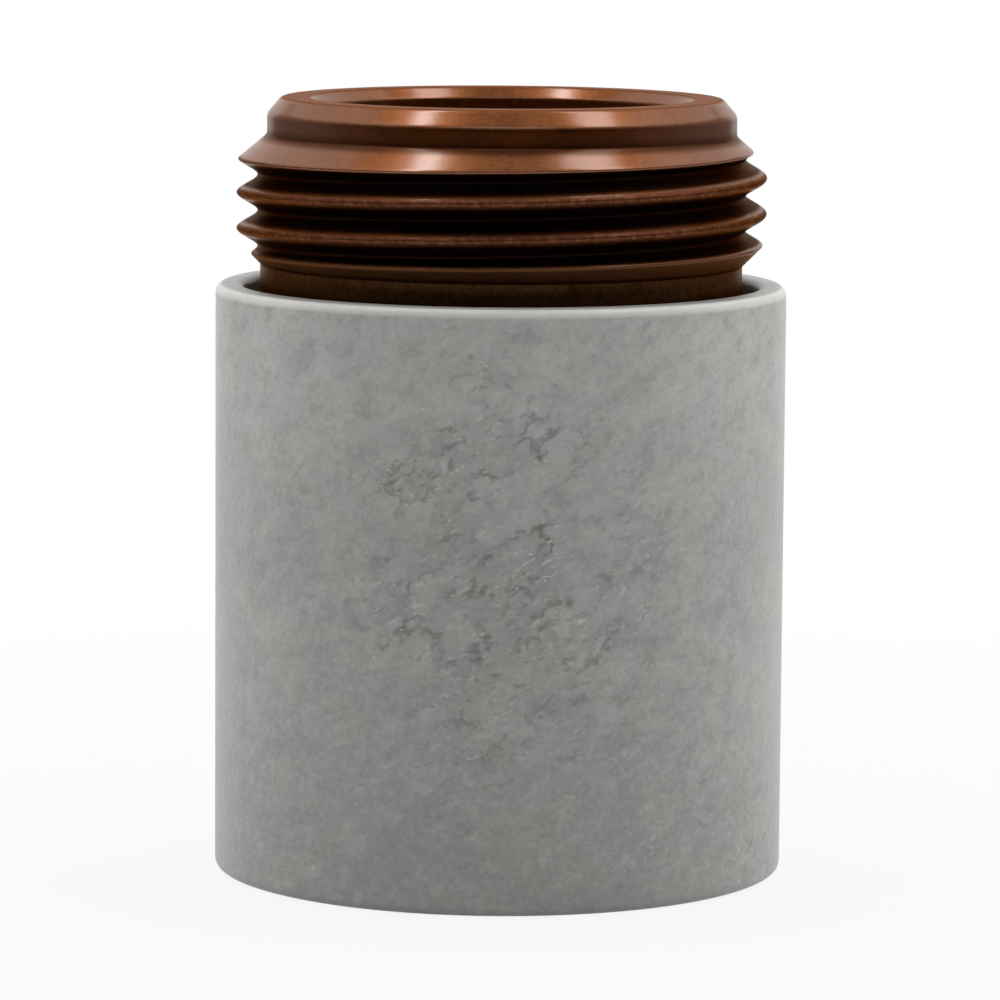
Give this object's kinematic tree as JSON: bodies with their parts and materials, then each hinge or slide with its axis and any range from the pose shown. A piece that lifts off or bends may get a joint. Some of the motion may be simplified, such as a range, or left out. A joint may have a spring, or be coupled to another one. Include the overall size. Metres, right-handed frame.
{
  "type": "plasma torch retaining cap",
  "caption": "Short cylindrical retaining cap: a grey insulating sleeve round a copper-alloy body with an outside thread and a chamfered nose.",
  "frame": {"origin": "centre of the open rear end of the sleeve, on which the cap stands", "axes": "+Z along the cap's axis, from the rear end to the nose; azimuth zero of the thread lies along +X"},
  "size_m": [0.032, 0.032, 0.0434],
  "materials": {
    "copper_alloy": "turned, oxidised brown",
    "insulator": "moulded, glass-fibre filled, matt grey"
  },
  "bodies": {
    "root": {"threaded_body": "copper_alloy", "insulating_sleeve": "insulator"}
  },
  "joints": []
}
